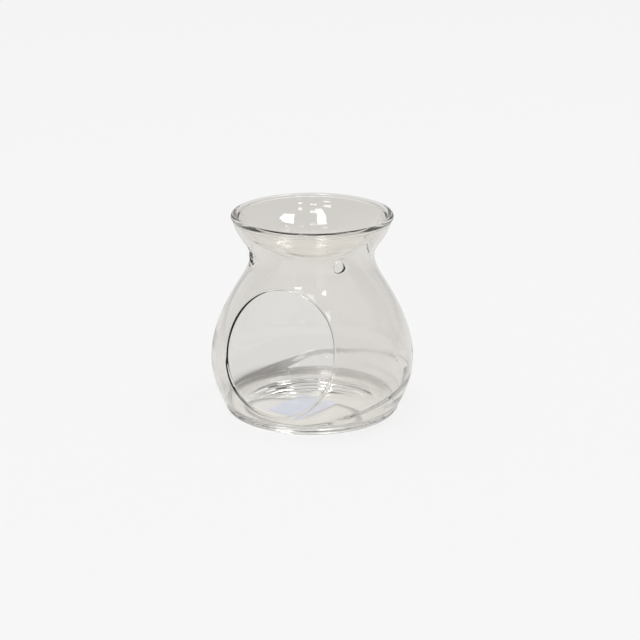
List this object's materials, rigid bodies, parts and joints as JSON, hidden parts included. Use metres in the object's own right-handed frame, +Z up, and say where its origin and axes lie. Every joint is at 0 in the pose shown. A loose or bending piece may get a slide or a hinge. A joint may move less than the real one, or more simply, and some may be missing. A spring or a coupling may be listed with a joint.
{
  "type": "glass aroma lamp",
  "caption": "Clear glass aroma lamp: pear-shaped body with a round front opening for a tealight, small neck vents and a fused oil bowl on top.",
  "frame": {"origin": "on the lamp's axis, at the table plane that the base ring stands on", "axes": "+Z up along the lamp's axis, -Y out of the middle of the front opening, +X to the right as seen from the back"},
  "size_m": [0.1014, 0.0973, 0.102],
  "materials": {
    "body_glass": "clear, polished",
    "floor_glass": "clear, polished",
    "bowl_glass": "clear, polished",
    "label_paper": "matt, blank"
  },
  "bodies": {
    "root": {"glass_body": "body_glass", "floor_disc": "floor_glass", "oil_bowl": "bowl_glass", "base_label": "label_paper"}
  },
  "joints": []
}
